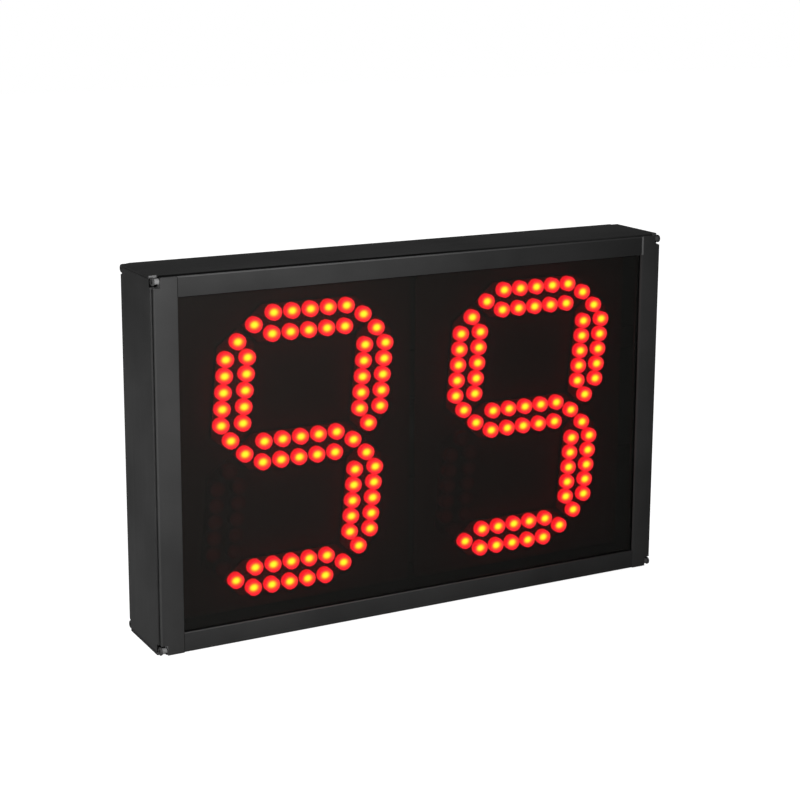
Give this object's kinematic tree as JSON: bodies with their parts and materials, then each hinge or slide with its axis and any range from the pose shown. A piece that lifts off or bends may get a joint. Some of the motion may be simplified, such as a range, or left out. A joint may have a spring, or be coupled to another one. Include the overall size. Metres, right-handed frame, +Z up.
{
  "type": "led shot clock",
  "caption": "Flat wall or table shot clock: slanted seven-segment digits of round red lamps behind a smoked window, in a black case of extruded profiles.",
  "frame": {"origin": "middle of the underside, where the case stands on a table", "axes": "+X to the right seen from the front, +Y to the rear, +Z up; the display faces -Y"},
  "size_m": [0.512, 0.08, 0.33],
  "materials": {
    "anodised": "satin black anodised extrusion",
    "smoked_window": "smoked acrylic sheet",
    "rear_panel": "fine-grained black sheet",
    "black_board": "black solder mask",
    "lit_lamps": "red lamps, lit",
    "dark_lamps": "red lamps, unlit",
    "sheet_steel": "plated sheet steel",
    "zinc": "zinc plated",
    "socket_shell": "nickel plated",
    "black_plastic": "moulded black plastic",
    "fuse_glass": "clear tube",
    "green_board": "green solder mask",
    "heat_sink": "anodised",
    "lead_rubber": "insulated lead",
    "ribbon_grey": "flat ribbon lead"
  },
  "bodies": {
    "case": {"side_profile_left": "anodised", "side_profile_right": "anodised", "top_profile": "anodised", "bottom_profile": "anodised", "front_window": "smoked_window", "rear_panel": "rear_panel", "digit_board_left": "black_board", "digit_board_right": "black_board", "segment_left_a": "lit_lamps", "segment_left_b": "lit_lamps", "segment_left_c": "lit_lamps", "segment_left_d": "lit_lamps", "segment_left_f": "lit_lamps", "segment_left_g": "lit_lamps", "segment_right_a": "lit_lamps", "segment_right_b": "lit_lamps", "segment_right_c": "lit_lamps", "segment_right_d": "lit_lamps", "segment_right_f": "lit_lamps", "segment_right_g": "lit_lamps", "segment_left_e": "dark_lamps", "segment_right_e": "dark_lamps", "board_rail_upper": "sheet_steel", "board_rail_lower": "sheet_steel", "power_supply": "sheet_steel", "inlet_pin_live": "sheet_steel", "inlet_pin_neutral": "sheet_steel", "inlet_pin_earth": "sheet_steel", "corner_screw_left_front_lower": "zinc", "corner_screw_left_front_upper": "zinc", "corner_screw_left_rear_lower": "zinc", "corner_screw_left_rear_upper": "zinc", "corner_screw_right_front_lower": "zinc", "corner_screw_right_front_upper": "zinc", "corner_screw_right_rear_lower": "zinc", "corner_screw_right_rear_upper": "zinc", "hanger_plate_left": "zinc", "hanger_plate_right": "zinc", "data_socket_in": "socket_shell", "data_socket_out": "socket_shell", "mains_inlet": "black_plastic", "supply_terminals": "black_plastic", "supply_core": "black_plastic", "controller_tray": "black_plastic", "controller_chip": "black_plastic", "horn": "black_plastic", "controller_board": "green_board", "driver_heat_sink": "heat_sink", "mains_lead": "lead_rubber", "supply_lead": "lead_rubber", "horn_lead": "lead_rubber", "data_lead_in": "lead_rubber", "data_lead_out": "lead_rubber", "ribbon_left": "ribbon_grey", "ribbon_right": "ribbon_grey"},
    "rocker": {"power_rocker": "black_plastic"},
    "drawer": {"fuse_drawer": "black_plastic", "fuse": "fuse_glass"}
  },
  "joints": [
    {"name": "power_rocker_tilt", "type": "hinge", "parent": "case", "child": "rocker", "pos_m": [0.19, 0.03469, 0.0704], "axis": [1, 0, 0], "range_deg": [0, 20]},
    {"name": "fuse_drawer_slide", "type": "slide", "parent": "case", "child": "drawer", "axis": [0, 1, 0], "range_m": [0, 0.014]}
  ]
}
